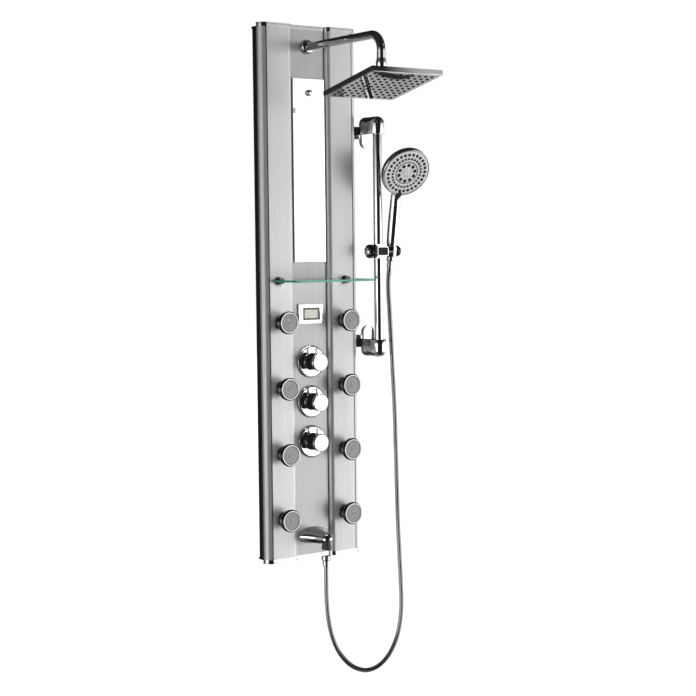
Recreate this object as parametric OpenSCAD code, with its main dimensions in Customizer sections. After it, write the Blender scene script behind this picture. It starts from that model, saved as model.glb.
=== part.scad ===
// Rainfall shower column: wall panel with rain head, body jets, controls,
// glass shelf, mirror, tub spout and a hand shower on a slide bar.
// Units are millimetres. The wall is the plane Y = 0 and the front faces -Y.

/* [Panel] */
// Height over the end caps
panel_h = 1320; // [1200:10:1500]
// Height of each end cap
cap_h = 10; // [6:1:16]
// Depth from the wall to the column fronts
panel_d = 42; // [36:1:60]
// How far the centre plate sits back from the column fronts
recess = 12; // [6:1:16]
// Half of the centre plate's width
plate_half = 50; // [44:1:56]
// Half of the width over the flat column fronts
front_half = 122.5; // [110:0.5:130]
// Half of the width over everything
side_half = 140; // [130:1:150]
// Sheet thickness of the extrusions
wall_t = 2; // [1.5:0.5:3]

/* [Rain head] */
// Side of the square head
head_side = 200; // [150:10:300]
// Thickness of the head
head_t = 12; // [8:1:20]
// Forward tilt of the head at rest, in degrees
head_tilt = 12; // [0:1:15]
// Nozzles along each side
nozzle_count = 10; // [6:1:14]
// Spacing of the nozzles
nozzle_pitch = 18; // [12:1:24]
// Outer diameter of the arm's pipe
arm_d = 20; // [16:1:24]
// Height of the arm above the middle of the panel
arm_z = 608; // [560:1:630]
// Reach of the arm's down leg from the wall
arm_reach = 338; // [250:1:420]

/* [Controls] */
// Diameter of each control's cover plate
cover_d = 81; // [60:1:90]
// Diameter of each control knob
knob_d = 45; // [36:1:56]
// Height of the top knob
knob_z = -167; // [-180:1:-140]
// Spacing of the knobs
knob_pitch = 100; // [90:1:110]

/* [Body jets] */
// Sideways position of the two jet rows
jet_x = 92.5; // [85:0.5:100]
// Height of the top jets
jet_z = -66; // [-80:1:-50]
// Spacing of the jets
jet_pitch = 162; // [140:1:180]
// Diameter of a jet head
jet_d = 56; // [44:1:60]

/* [Fittings] */
// Mirror width
mirror_w = 94; // [80:1:98]
// Mirror height
mirror_h = 452; // [400:1:480]
// Shelf glass width
shelf_w = 232; // [200:1:260]
// Shelf glass depth
shelf_d = 110; // [90:1:140]
// Shelf glass thickness
shelf_t = 5; // [4:0.5:8]
// Height of the shelf's top face
shelf_z = 38; // [20:1:60]
// Display bezel width
display_w = 72; // [60:1:90]
// Display bezel height
display_h = 49; // [40:1:60]

/* [Hand shower] */
// Slide bar diameter
bar_d = 22; // [18:1:25]
// Slide bar's sideways position
bar_x = 180; // [170:1:190]
// Slide bar's distance from the wall
bar_y = 74; // [60:1:90]
// Height of the slider
slider_z = 105; // [-60:1:300]
// Diameter of the hand shower's spray face
hand_d = 120; // [100:1:130]
// Hose diameter
hose_d = 13; // [12:0.5:16]

/* [Hidden] */
$fn = 48;
half_h = panel_h / 2;
body_h = panel_h - 2 * cap_h;
front_y = -panel_d;
plate_y = -panel_d + recess;
frame_half = side_half - wall_t;
bar_top = 443;
bar_low = -162;
cup_h = 44;
cup_r = 17.5;
lug_h = 78;
lug_t = 12;
lug_back = 19;
ball = [0, -arm_reach, 517];
ball_r = 9;
head_drop = 25;
hold_x = bar_x + 40;
hold_r = 15;
lean = 9;
turn = 9;
seat_h = 26;
face_tilt = 21;
face_pos = [0, -46, 204];
jet_face = 38;
socket_r = 11;
outlet = [49, -17, -half_h];
tray_d = 23.5;
shoulder = side_half - front_half;
pipe_y = 17;
face_outline = [
  [0, -5.5], [hand_d / 2 - 0.4, -5.5], [hand_d / 2 - 0.4, -0.3], [hand_d / 2 - 3, 1.1], [33, 1.8],
  [32, 1], [30.5, 1], [29.5, 2], [0, 2.9]
];
arm_bend = 38;

// Route of the hose, from the outlet nut to the hand shower's nut.
route = [
  [49, -17, -690], [49, -17, -715], [49, -17, -745], [50, -17, -785],
  [54, -18.5, -830], [63, -22, -875], [80, -27, -916], [107, -36, -950],
  [140, -47, -967], [172, -57, -963], [200, -66, -941], [221, -73, -905],
  [234, -77, -862], [240, -79, -806], [239, -78.5, -740], [236, -78, -670],
  [233, -77, -590], [231, -76.5, -500], [229, -76, -400], [227, -75, -300],
  [224, -73, -210], [222, -70, -130], [221, -66, -60], [220, -62.5, 0],
  [220, -62.5, 32], [220, -67, 60.7]
];

// Smooth curve through the route's points.
function cm(p, i) = p[max(0, min(len(p) - 1, i))];
function spline(p, i, t) =
  0.5 * ((2 * cm(p, i))
  + (cm(p, i + 1) - cm(p, i - 1)) * t
  + (2 * cm(p, i - 1) - 5 * cm(p, i) + 4 * cm(p, i + 1) - cm(p, i + 2)) * t * t
  + (3 * cm(p, i) - cm(p, i - 1) - 3 * cm(p, i + 1) + cm(p, i + 2)) * t * t * t);
function unit(v) = v / norm(v);
hose_sub = 3;
hose_line = [
  for (i = [0 : len(route) - 2], k = [0 : hose_sub - 1]) spline(route, i, k / hose_sub),
  route[len(route) - 1]
];
function tangent(p, i) = unit(cm(p, i + 1) - cm(p, i - 1));
hose_sides = 10;
side_dir = [0.25, 0.97, 0];
function ring(p, i, r) =
  let (t = tangent(p, i), u = unit(cross(t, side_dir)), v = cross(u, t))
  [
    for (k = [0 : hose_sides - 1])
      let (a = k * 360 / hose_sides) p[i] + r * (cos(a) * u + sin(a) * v)
  ];

module tube_along(p, r) {
  n = len(p);
  m = hose_sides;
  pts = [for (i = [0 : n - 1]) each ring(p, i, r)];
  sides = [
    for (i = [0 : n - 2], k = [0 : m - 1])
      [i * m + k, i * m + (k + 1) % m, (i + 1) * m + (k + 1) % m, (i + 1) * m + k]
  ];
  caps = [[for (k = [m - 1 : -1 : 0]) k], [for (k = [0 : m - 1]) (n - 1) * m + k]];
  polyhedron(points = pts, faces = concat(sides, caps), convexity = 10);
}

// Cylinder whose axis runs along Y, from y1 out to y2 (both measured from the wall).
module rod_y(r, y1, y2) {
  translate([0, -y1, 0]) rotate([90, 0, 0]) cylinder(r = r, h = y2 - y1);
}

// Solid of revolution about an axis that points to the front; the outline is
// drawn as [radius, distance from the wall].
module turned_y(outline) {
  rotate([90, 0, 0]) rotate_extrude() polygon(outline);
}

module turned_x(outline) {
  rotate([0, 90, 0]) rotate_extrude() polygon(outline);
}

// ---- panel -------------------------------------------------------------
function arc(cx, cy, r, a0, a1, n = 6) =
  [for (k = [0 : n]) let (a = a0 + (a1 - a0) * k / n) [cx + r * cos(a), cy + r * sin(a)]];

// Half of the front's cross-section: a flat face with a rounded shoulder on each side.
function column_line(grow) = concat(
  arc(plate_half + recess + 0.5, plate_y, recess + grow, 180, 270),
  arc(front_half, front_y + shoulder, shoulder + grow, 270, 360)
);

module column_outline(grow = 0) {
  polygon(concat(
    [[plate_half + 0.5 - grow, plate_y + wall_t]],
    column_line(grow),
    [[side_half + grow, front_y + 20]]
  ));
}

module column_cavity() {
  polygon(concat(
    [[plate_half + 0.5 + wall_t, plate_y + wall_t + 1]],
    column_line(-wall_t),
    [[side_half - wall_t, front_y + 21], [plate_half + 0.5 + wall_t, front_y + 21]]
  ));
}

module column() {
  color([0.72, 0.73, 0.74])
  difference() {
    translate([0, 0, -body_h / 2]) linear_extrude(body_h) difference() {
      column_outline();
      column_cavity();
    }
    for (i = [0 : 3])
      translate([jet_x, 0, jet_z - i * jet_pitch]) rod_y(socket_r, 30, 50);
  }
}

module left_column() mirror([1, 0, 0]) column();
module right_column() column();

module centre_plate() {
  color([0.6, 0.61, 0.62])
  difference() {
    translate([-plate_half - 0.5, plate_y, -body_h / 2])
      cube([2 * plate_half + 1, wall_t, body_h]);
    translate([0, 0, arm_z]) rod_y(arm_d / 2 + 1, 20, 40);
    for (i = [0 : 2]) translate([0, 0, knob_z - i * knob_pitch]) rod_y(14, 20, 40);
    translate([0, 0, -604]) rod_y(11, 20, 40);
    translate([-25, -40, -62]) cube([50, 20, 28]);
  }
}

module back_frame() {
  color([0.4, 0.41, 0.42])
  difference() {
    union() {
      translate([-frame_half, -tray_d, -body_h / 2]) cube([2 * frame_half, tray_d, body_h]);
      for (s = [-1, 1])
        translate([-side_half - 0.5, -tray_d + 2, s * (body_h / 2 - 1) - 3])
          cube([2 * side_half + 1, tray_d - 2, 6]);
    }
    translate([-frame_half + wall_t, -40, -body_h / 2 + 3])
      cube([2 * (frame_half - wall_t), 38, body_h - 6]);
    for (x = [-90, 90], z = [-560, 560]) translate([x, 0, z]) rod_y(3.5, -1, 5);
    for (x = [-75, 75]) translate([x, 0, 0]) rod_y(14, -1, 5);
    translate([outlet[0], outlet[1], -half_h - 10]) cylinder(r = 8.2, h = 30);
  }
}

// Stiffening rails inside the back, where the wall screws go through.
module mounting_rails() {
  color([0.55, 0.56, 0.57])
  for (z = [-560, 560]) difference() {
    translate([-115, -5, z - 17]) cube([230, 3, 34]);
    for (x = [-90, 90]) translate([x, 0, z]) rod_y(3.5, -1, 12);
  }
}

module end_cap() {
  translate([0, 0, body_h / 2]) {
    linear_extrude(7) column_outline(1.2);
    translate([0, 0, 7]) linear_extrude(cap_h - 7) column_outline(2.4);
  }
}

module centre_cap() {
  color([0.9, 0.9, 0.9])
  translate([-plate_half + 2, plate_y - 1.2, body_h / 2]) {
    cube([2 * plate_half - 4, 4.5, 7]);
    translate([0, -1.2, 7]) cube([2 * plate_half - 4, 5.7, cap_h - 7]);
  }
}

module right_top_cap() color([0.9, 0.9, 0.9]) end_cap();
module left_top_cap() mirror([1, 0, 0]) right_top_cap();
module centre_top_cap() centre_cap();
module right_bottom_cap() mirror([0, 0, 1]) right_top_cap();
module left_bottom_cap() mirror([1, 0, 0]) right_bottom_cap();

module centre_bottom_cap() mirror([0, 0, 1]) centre_cap();

// ---- mirror, shelf, display ---------------------------------------------
module mirror_glass() {
  color([0.9, 0.93, 0.95])
  difference() {
    translate([-mirror_w / 2, plate_y - 6, 79.5]) cube([mirror_w, 6, mirror_h]);
    translate([0, 0, 496]) rod_y(2.6, 28, 40);
  }
}

module mirror_screw() {
  color([0.85, 0.86, 0.87])
  translate([0, 0, 496])
    turned_y([[0, 30.2], [2.4, 30.2], [2.4, 36.1], [8, 36.1], [8, 42.5], [6.5, 44.2], [0, 44.2]]);
}

module shelf_glass() {
  color([0.55, 0.75, 0.68, 0.7])
  translate([0, front_y - 1 - shelf_d / 2, shelf_z - shelf_t / 2]) difference() {
    cube([shelf_w, shelf_d, shelf_t], center = true);
    for (s = [-1, 1]) translate([s * (shelf_w / 2 - 6), -shelf_d / 2 + 6, 0])
      difference() {
        translate([s * 4, -4, 0]) cube([8, 8, shelf_t + 1], center = true);
        cylinder(r = 6, h = shelf_t + 2, center = true);
      }
  }
}

module shelf_clips() {
  color([0.8, 0.81, 0.82])
  for (s = [-1, 1]) translate([s * 99, 0, shelf_z - shelf_t / 2]) difference() {
    turned_y([[0, 42], [8.5, 42], [8.5, 55], [7, 57.5], [0, 57.5]]);
    translate([-20, front_y - 41, -shelf_t / 2]) cube([40, 40, shelf_t]);
    translate([0, -51, -12]) cylinder(r = 2.05, h = 10);
  }
}

module shelf_screws() {
  color([0.7, 0.71, 0.72])
  for (s = [-1, 1]) translate([s * 99, -51, shelf_z - shelf_t]) {
    translate([0, 0, -7]) cylinder(r = 2, h = 7);
    translate([0, 0, -10]) cylinder(r = 3.2, h = 3.9);
  }
}

module display_bezel() {
  color([0.75, 0.76, 0.77])
  translate([0, 0, -48]) difference() {
    union() {
      translate([-display_w / 2, plate_y - 5.5, -display_h / 2]) cube([display_w, 5.5, display_h]);
      translate([-display_w / 2 + 4, plate_y - 7.5, -display_h / 2 + 4])
        cube([display_w - 8, 3, display_h - 8]);
    }
    translate([-23.5, -50, -13]) cube([47, 30, 26]);
  }
}

module display_lens() {
  color([0.55, 0.6, 0.55])
  translate([-23.4, plate_y - 6.7, -48 - 12.9]) cube([46.8, 2, 25.8]);
}

module display_module() {
  color([0.15, 0.35, 0.2])
  translate([-23.4, plate_y - 4.6, -48 - 12.9]) cube([46.8, 12, 25.8]);
}

// ---- arm and rain head ---------------------------------------------------
module arm_cover() {
  color([0.8, 0.81, 0.82])
  translate([0, 0, arm_z])
    turned_y([[arm_d / 2 + 0.05, 30], [18, 30], [18, 34], [15, 40], [arm_d / 2 + 0.05, 40]]);
}

module shower_arm() {
  color([0.8, 0.81, 0.82])
  difference() {
    union() {
      translate([0, 0, arm_z]) rod_y(arm_d / 2, 22, arm_reach - arm_bend);
      translate([0, -arm_reach + arm_bend, arm_z - arm_bend]) rotate([0, -90, 180])
        rotate_extrude(angle = 90, $fn = 96)
          translate([arm_bend, 0]) circle(r = arm_d / 2);
      translate([0, -arm_reach, ball[2] + 16]) cylinder(r = arm_d / 2, h = arm_z - arm_bend - ball[2] - 16);
      translate([0, -arm_reach, ball[2] + 15]) cylinder(r = 12.5, h = 12);
    }
    translate([0, 0, arm_z]) rod_y(arm_d / 2 - 1.5, 10, arm_reach - arm_bend);
    translate([0, -arm_reach, ball[2] + 10]) cylinder(r = 5, h = 28);
  }
}

module swivel_ball() {
  color([0.75, 0.76, 0.77])
  translate(ball) difference() {
    union() {
      sphere(r = ball_r, $fn = 64);
      cylinder(r = 5, h = 30);
    }
    translate([0, 0, -20]) cylinder(r = 2.5, h = 60);
  }
}

// Places its children in the rain head's own frame: origin at the ball's centre.
module in_head() {
  translate(ball) rotate([-head_tilt, 0, 0]) children();
}

module swivel_nut() {
  color([0.8, 0.81, 0.82])
  in_head() difference() {
    rotate_extrude() polygon([[6, -3], [15, -3], [16, 0], [16, 5], [13.5, 9.5], [6, 9.5]]);
    sphere(r = 12.85, $fn = 64);
    cylinder(r = 10.2, h = 30);
  }
}

module rain_head_body() {
  color([0.7, 0.71, 0.72])
  in_head() difference() {
    union() {
      intersection() {
        sphere(r = 12.5, $fn = 64);
        translate([0, 0, -20]) cylinder(r = 20, h = 23);
      }
      translate([0, 0, -head_drop + 4]) cylinder(r = 9, h = head_drop - 14);
      translate([0, 0, -head_drop + 5]) cylinder(r = 22, h = 3);
      translate([-head_side / 2, -head_side / 2, -head_drop - 6]) cube([head_side, head_side, head_t]);
    }
    sphere(r = ball_r + 0.06, $fn = 64);
    translate([0, 0, -head_drop]) cylinder(r = 4, h = 30);
    translate([-head_side / 2 + 2, -head_side / 2 + 2, -head_drop - 7])
      cube([head_side - 4, head_side - 4, head_t - 1]);
  }
}

module rain_head_plate() {
  color([0.65, 0.67, 0.67])
  in_head() difference() {
    translate([-head_side / 2 + 2.1, -head_side / 2 + 2.1, -head_drop - 6])
      cube([head_side - 4.2, head_side - 4.2, 3]);
    nozzle_grid(1.9, 8, -head_drop - 9);
  }
}

module nozzle_grid(r, h, z, sides = 8) {
  start = -(nozzle_count - 1) * nozzle_pitch / 2;
  for (i = [0 : nozzle_count - 1], j = [0 : nozzle_count - 1])
    translate([start + i * nozzle_pitch, start + j * nozzle_pitch, z])
      cylinder(r = r, h = h, $fn = sides);
}

module rain_nozzles() {
  color([0.08, 0.08, 0.08])
  in_head() nozzle_grid(1.8, 4.2, -head_drop - 7.2);
}

// ---- controls --------------------------------------------------------------
module control_cover() {
  color([0.8, 0.81, 0.82])
    turned_y([[13, 30], [cover_d / 2, 30], [cover_d / 2, 33.5], [cover_d / 2 - 2, 35.9],
      [cover_d / 2 - 4, 36.5], [13, 36.5]]);
}

module control_knob() {
  color([0.78, 0.79, 0.8]) {
    turned_y([
      [0, 36.8], [6, 36.8], [knob_d / 2 - 1.5, 37.2], [knob_d / 2, 38.5],
      [knob_d / 2 - 1, 48], [knob_d / 2, 70], [knob_d / 2 - 2, 74.5],
      [knob_d / 2 - 4.5, 75.4], [knob_d / 2 - 5.5, 74.4], [0, 74.4]
    ]);
    translate([0, -56, 18]) cylinder(r = 3, h = 13);
    translate([0, -56, 31]) sphere(r = 3);
    rod_y(6, 24, 37);
  }
}

module cover_at(i) translate([0, 0, knob_z - i * knob_pitch]) control_cover();
module knob_at(i) translate([0, 0, knob_z - i * knob_pitch]) control_knob();
module cover_top() cover_at(0);
module cover_middle() cover_at(1);
module cover_bottom() cover_at(2);
module knob_top() knob_at(0);
module knob_middle() knob_at(1);
module knob_bottom() knob_at(2);

module valve_bodies() {
  color([0.75, 0.6, 0.3])
  for (i = [0 : 2]) translate([0, 0, knob_z - i * knob_pitch]) difference() {
    union() {
      rod_y(12.8, 8, 36);
      rod_y(20, 5, 26);
    }
    rod_y(6.05, 20, 40);
  }
}

module pipe_x(r, x1, x2) {
  translate([x1, -pipe_y, 0]) rotate([0, 90, 0]) cylinder(r = r, h = x2 - x1);
}

module water_pipes() {
  color([0.7, 0.55, 0.28]) {
    for (s = [-1, 1]) {
      translate([s * 75, -pipe_y, -610]) cylinder(r = 6.5, h = 1164);
      for (i = [0 : 3]) translate([0, 0, jet_z - i * jet_pitch]) {
        pipe_x(4.8, s < 0 ? -jet_x : 75, s < 0 ? -75 : jet_x);
        translate([s * jet_x, 0, 0]) rod_y(5.2, pipe_y - 5.4, 37.8);
      }
    }
    translate([0, 0, knob_z]) pipe_x(5.5, -75, -20.2);
    translate([0, 0, knob_z - knob_pitch]) pipe_x(5.5, 20.2, 75);
    translate([0, 0, knob_z - 2 * knob_pitch]) pipe_x(5.5, -75, -20.2);
    translate([0, 0, 548]) pipe_x(5.5, -75, 75);
    translate([0, -pipe_y, 548]) cylinder(r = 4.5, h = arm_z - 548);
    translate([0, 0, arm_z]) rod_y(8.5, 8, 21.8);
    translate([0, 0, -604]) pipe_x(5.5, -75, outlet[0]);
    translate([0, 0, -604]) rod_y(8.5, 8, 22.6);
    translate([outlet[0], outlet[1], -half_h - 12]) cylinder(r = 8, h = 66);
  }
}

// Threaded sockets in the back for the hot and the cold supply.
module water_inlets() {
  color([0.8, 0.65, 0.35])
  for (s = [-1, 1]) translate([s * 75, 0, 0]) difference() {
    rod_y(13, 0, 13);
    rod_y(9.5, -1, 10);
    translate([0, -pipe_y, -20]) cylinder(r = 6.55, h = 40);
  }
}

// ---- body jets ---------------------------------------------------------------
jet_ball_y = 54;

module jets() {
  for (s = [-1, 1], i = [0 : 3]) translate([s * jet_x, 0, jet_z - i * jet_pitch]) children();
}

module jet_collars() {
  color([0.8, 0.81, 0.82])
  jets() difference() {
    turned_y([
      [0, 38], [socket_r - 0.3, 38], [socket_r - 0.3, 42], [17, 42],
      [17.5, 43], [17.5, 50], [15.5, 53], [0, 53]
    ]);
    translate([0, -jet_ball_y, 0]) sphere(r = 13.3, $fn = 64);
    rod_y(5, 30, 60);
  }
}

module jet_head() {
  color([0.75, 0.76, 0.77])
  difference() {
    union() {
      translate([0, -jet_ball_y, 0]) sphere(r = 13, $fn = 64);
      turned_y([
        [0, 60], [11, 60], [jet_d / 2 - 6, 67], [jet_d / 2 - 1, 68.5], [jet_d / 2, 70.5],
        [jet_d / 2, 76.5], [jet_d / 2 - 1.5, 79], [jet_d / 2 - 3.5, 79.5],
        [jet_d / 2 - 4.5, 78.5], [jet_d / 2 - 4.5, 76], [21, 76], [20, 77.5], [17.5, 77.5],
        [16.5, 76.3], [14, 77.5], [12, 77.5], [11, 76.3], [8, 77.5], [5, 78], [4, 80], [0, 80]
      ]);
    }
    rod_y(3, 30, 66);
  }
}

module jet_at(s, i) translate([s * jet_x, 0, jet_z - i * jet_pitch]) jet_head();
module jet_left_1() jet_at(-1, 0);
module jet_left_2() jet_at(-1, 1);
module jet_left_3() jet_at(-1, 2);
module jet_left_4() jet_at(-1, 3);
module jet_right_1() jet_at(1, 0);
module jet_right_2() jet_at(1, 1);
module jet_right_3() jet_at(1, 2);
module jet_right_4() jet_at(1, 3);

// ---- spout -----------------------------------------------------------------------
module spout_body() {
  color([0.8, 0.81, 0.82])
  difference() {
    union() {
      hull() {
        translate([0, plate_y, -603]) rotate([90, 0, 0]) linear_extrude(4)
          resize([88, 42]) circle(r = 20, $fn = 48);
        translate([0, -62, -603]) rotate([90, 0, 0]) linear_extrude(2)
          resize([58, 36]) circle(r = 20, $fn = 48);
        translate([0, -97, -604]) sphere(r = 14, $fn = 40);
      }
      translate([0, 0, -604]) rod_y(10, 22.8, 32);
    }
    translate([0, -92, -622]) cylinder(r = 9, h = 16);
  }
}

module spout_outlet() {
  color([0.2, 0.2, 0.2])
  translate([0, -92, -630]) difference() {
    union() {
      cylinder(r = 12, h = 9.6);
      cylinder(r = 8.9, h = 22);
    }
    translate([0, 0, -1]) cylinder(r = 7, h = 14);
  }
}

// ---- slide bar ----------------------------------------------------------------------
module slide_bar() {
  color([0.82, 0.83, 0.84])
  translate([bar_x, -bar_y, bar_low + 6]) difference() {
    cylinder(r = bar_d / 2, h = bar_top - bar_low - 12);
    translate([0, 0, -1]) cylinder(r = bar_d / 2 - 1.5, h = bar_top - bar_low);
  }
}

module arch(h, r) {
  intersection() {
    union() {
      translate([-r, 0]) square([2 * r, h - r]);
      translate([0, h - r]) circle(r = r);
    }
    translate([-r, 0]) square([2 * r, h]);
  }
}

// Bracket at the top of the bar: upright lug plate, neck and domed cup.
module bar_bracket() {
  difference() {
    union() {
      intersection() {
        translate([0, 0, -cup_h]) rotate([90, 0, 0]) linear_extrude(bar_y + 30) arch(cup_h, cup_r);
        translate([0, 0, -cup_h - 1]) linear_extrude(cup_h + 2) union() {
          translate([0, -bar_y]) circle(r = cup_r);
          translate([-cup_r, -bar_y]) square([2 * cup_r, bar_y - lug_back - 1]);
        }
      }
      translate([0, -lug_back, 0]) rotate([90, 0, 0]) linear_extrude(lug_t) union() {
        translate([0, -cup_r]) circle(r = cup_r);
        translate([-cup_r, -lug_h + cup_r]) square([2 * cup_r, lug_h - 2 * cup_r]);
        translate([0, -lug_h + cup_r]) circle(r = cup_r);
      }
    }
    translate([0, -bar_y, -cup_h - 1]) cylinder(r = bar_d / 2 + 0.03, h = cup_h - 5);
  }
}

module bracket_top() {
  color([0.8, 0.81, 0.82]) translate([bar_x, 0, bar_top]) bar_bracket();
}

module bracket_bottom() {
  color([0.8, 0.81, 0.82]) translate([bar_x, 0, bar_low]) mirror([0, 0, 1]) bar_bracket();
}

// Arms that carry the brackets from the panel's side.
module bar_arms() {
  color([0.7, 0.71, 0.72])
  for (z = [bar_top - lug_h / 2, bar_low + lug_h / 2]) translate([0, 0, z]) difference() {
    union() {
      translate([side_half - 2, -lug_back, -15]) cube([bar_x - side_half + 10, 14, 30]);
      translate([side_half - 2, -27, -15]) cube([bar_x - cup_r - side_half + 2, 12, 30]);
    }
    for (x = [side_half + 6, side_half + 13])
      translate([x, -28, -16]) difference() {
        cube([2, 24, 32]);
        translate([-1, 1.5, 1.6]) cube([4, 24, 28.8]);
      }
    translate([side_half - 5, -30, -20]) cube([5.05, 8.1, 40]);
  }
}

module slider_clamp() {
  color([0.78, 0.79, 0.8])
  translate([bar_x, -bar_y, slider_z]) difference() {
    union() {
      translate([-19.5, -19, -17]) cube([40, 38, 34]);
      turned_x([[0, 0], [16, 0], [16, 21.5], [15, 22.5], [0, 22.5]]);
    }
    cylinder(r = bar_d / 2 + 0.08, h = 60, center = true);
    translate([-34, 0, 0]) rotate([0, 90, 0]) cylinder(r = 4.05, h = 26);
    translate([13.5, 0, 0]) rotate([0, 90, 0]) cylinder(r = 4.05, h = 12);
  }
}

module clamp_knob() {
  color([0.78, 0.79, 0.8])
  translate([bar_x, -bar_y, slider_z]) rotate([0, -90, 0]) {
    difference() {
      rotate_extrude() polygon([
        [0, 19.8], [14, 19.8], [17.5, 21.5], [17.5, 27], [14, 32], [8, 34.5], [0, 35]
      ]);
      for (a = [0 : 45 : 315]) rotate([0, 0, a]) translate([20.5, 0, 18]) cylinder(r = 4.5, h = 20);
    }
    translate([0, 0, 12.4]) cylinder(r = 4, h = 8);
  }
}

module in_holder() {
  translate([hold_x, -bar_y, slider_z]) children();
}

module in_hand() {
  in_holder() rotate([lean, 0, 0]) rotate([0, 0, -turn]) children();
}

module handset_holder() {
  color([0.78, 0.79, 0.8])
  difference() {
    union() {
      in_holder() translate([-17.2, 0, 0]) turned_x([[0, 0], [15, 0], [15, 12], [0, 12]]);
      in_holder() translate([-26, 0, 0]) rotate([0, 90, 0]) cylinder(r = 4, h = 10);
      in_holder() rotate([lean, 0, 0]) translate([0, 0, -seat_h / 2])
        cylinder(r = hold_r, h = seat_h);
    }
    in_holder() rotate([lean, 0, 0]) translate([0, 0, -seat_h / 2 - 6])
      cylinder(r1 = 9.75, r2 = 12.9, h = seat_h + 12);
  }
}

module pivot_cap() {
  color([0.78, 0.79, 0.8])
  in_holder() difference() {
    translate([15.3, 0, 0])
      turned_x([[0, -2], [9, -2], [13.5, 0], [13.5, 5], [11.5, 8.5], [7, 10.3], [0, 10.7]]);
    rotate([lean, 0, 0]) translate([0, 0, -30]) cylinder(r = hold_r + 0.2, h = 60);
  }
}

// ---- hand shower --------------------------------------------------------------------
module in_face() {
  in_hand() translate(face_pos) rotate([90 + face_tilt, 0, 0]) children();
}

module handset_body() {
  color([0.8, 0.81, 0.82])
  difference() {
    union() {
      in_hand() difference() {
        rotate_extrude() polygon([
          [0, -25], [9.3, -25], [12.6, 18.6], [12.9, 26], [13.6, 60], [13.2, 100],
          [12, 130], [11.5, 142], [0, 150]
        ]);
        translate([0, 0, -26]) cylinder(r = 6, h = 140);
      }
      in_hand() translate([0, 0, 118]) rotate([22, 0, 0]) cylinder(r1 = 11.8, r2 = 14, h = 62);
      in_face() rotate_extrude() polygon([
        [0, -34], [10, -33.6], [24, -31.6], [38, -27], [50, -20.5], [58, -13.5],
        [hand_d / 2 + 2.8, -7.5], [hand_d / 2 + 3.4, -2], [hand_d / 2 + 2.4, 0], [0, 0]
      ]);
    }
    in_face() translate([0, 0, -6]) cylinder(r = hand_d / 2 + 0.1, h = 10);
    in_face() translate([0, 0, 0.15]) cylinder(r = hand_d / 2 + 16, h = 8);
    in_face() rotate_extrude() polygon([
      [0, -30.5], [20, -28.2], [34, -22.2], [46, -14.2], [54, -7.6], [54, -5], [0, -5]
    ]);
  }
}

module handset_face() {
  color([0.68, 0.69, 0.7])
  in_face() difference() {
    rotate_extrude() polygon(face_outline);
    for (row = [[49, 28, 1.7], [37, 28, 1.4], [21.8, 10, 2.4]], k = [0 : row[1] - 1])
      rotate([0, 0, k * 360 / row[1]]) translate([row[0], 0, -1])
        cylinder(r = row[2], h = 8, $fn = 8);
  }
}

// Dark lever at the rim that turns the spray ring from one pattern to the next.
module spray_lever() {
  color([0.15, 0.15, 0.16])
  in_face() difference() {
    rotate([0, 0, -95]) translate([0, 0, 0.35]) linear_extrude(5) polygon([
      [hand_d / 2 - 10, -1.5], [hand_d / 2 + 1, -6.4], [hand_d / 2 + 13, -1.5],
      [hand_d / 2 + 13, 1.5], [hand_d / 2 + 1, 6.4], [hand_d / 2 - 10, 1.5]
    ]);
    rotate_extrude() polygon(face_outline);
  }
}

// ---- hose ----------------------------------------------------------------------------
module hose() {
  color([0.75, 0.76, 0.77]) tube_along(hose_line, hose_d / 2);
}

module hose_nut_lower() {
  color([0.8, 0.81, 0.82])
  translate([outlet[0], outlet[1], -half_h]) difference() {
    rotate_extrude() polygon([
      [0, -30], [6.6, -30], [7.2, -28], [7.2, -15], [10, -13.5],
      [11.7, -11], [11.7, -2.5], [11, -1], [0, -1]
    ]);
    translate([0, 0, -12]) cylinder(r = 8.05, h = 20);
  }
}

module hose_nut_upper() {
  color([0.8, 0.81, 0.82])
  in_hand() rotate_extrude() polygon([
    [0, -44.3], [6.6, -44.3], [7.2, -42], [8, -34], [9.1, -31], [9.1, -25.1], [0, -25.1]
  ]);
}

back_frame();
left_column();
right_column();
centre_plate();
mounting_rails();
left_top_cap();
centre_top_cap();
right_top_cap();
left_bottom_cap();
centre_bottom_cap();
right_bottom_cap();
mirror_glass();
mirror_screw();
shelf_glass();
shelf_clips();
shelf_screws();
display_bezel();
display_lens();
display_module();
arm_cover();
shower_arm();
swivel_ball();
swivel_nut();
rain_head_body();
rain_head_plate();
rain_nozzles();
cover_top();
cover_middle();
cover_bottom();
knob_top();
knob_middle();
knob_bottom();
valve_bodies();
water_pipes();
water_inlets();
jet_collars();
jet_left_1();
jet_left_2();
jet_left_3();
jet_left_4();
jet_right_1();
jet_right_2();
jet_right_3();
jet_right_4();
spout_body();
spout_outlet();
slide_bar();
bracket_top();
bracket_bottom();
bar_arms();
slider_clamp();
clamp_knob();
handset_holder();
pivot_cap();
handset_body();
handset_face();
spray_lever();
hose();
hose_nut_lower();
hose_nut_upper();
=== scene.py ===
# Rainfall shower column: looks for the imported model. Lengths in the tables are millimetres.
import math

import bmesh
import bpy
from mathutils import Matrix, Vector


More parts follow.
